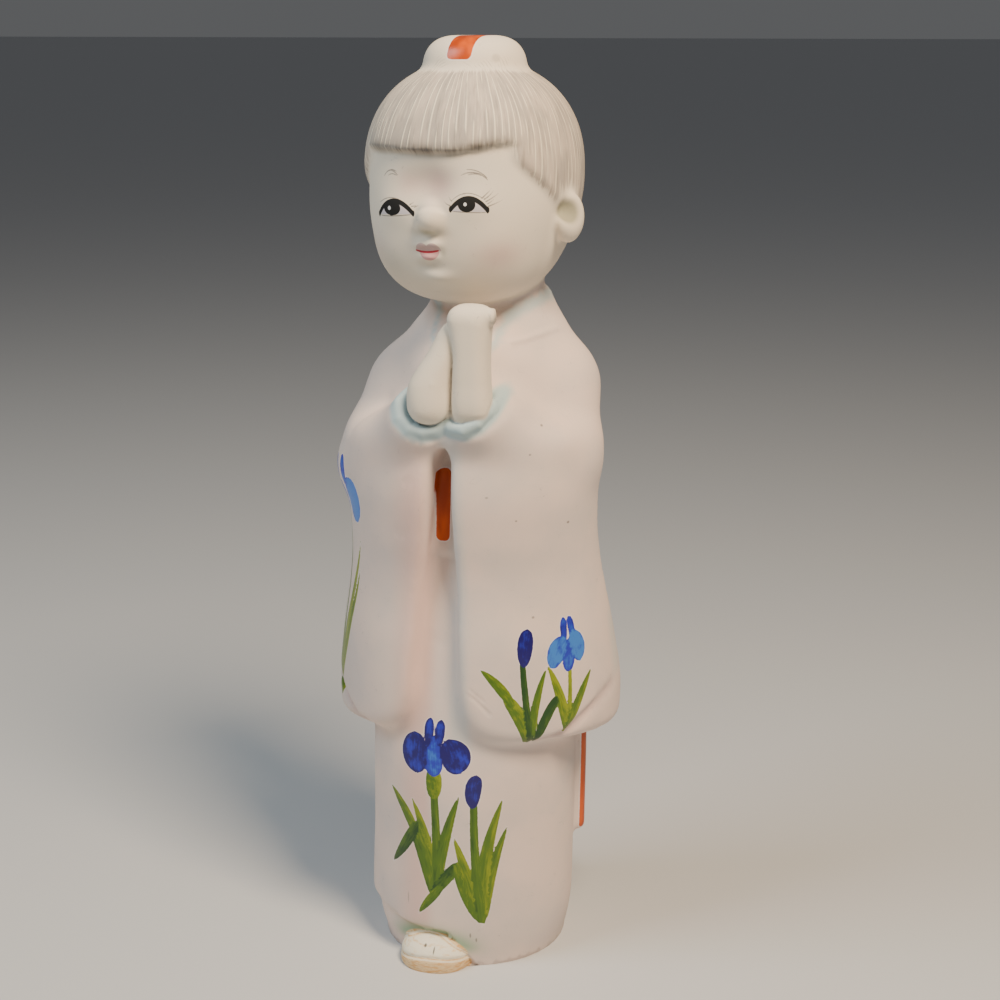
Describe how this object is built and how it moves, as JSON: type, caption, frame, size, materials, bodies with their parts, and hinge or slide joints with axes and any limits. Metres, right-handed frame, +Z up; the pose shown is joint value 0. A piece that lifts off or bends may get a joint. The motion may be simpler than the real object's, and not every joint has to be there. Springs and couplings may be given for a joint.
{
  "type": "hakata doll",
  "caption": "Slip-cast bisque clay doll of a standing girl in a kimono, hands pressed together under the chin, painted with iris flowers and an orange sash and hair ribbon.",
  "frame": {"origin": "on the flat underside, on the upright axis of the figure", "axes": "+Z up the figure, -Y the way her body faces, +X towards her left hand"},
  "size_m": [0.0956, 0.0796, 0.3],
  "materials": {
    "painted_bisque": "matt unglazed white clay with glossy hand painting"
  },
  "bodies": {
    "root": {"doll": "painted_bisque"}
  },
  "joints": []
}
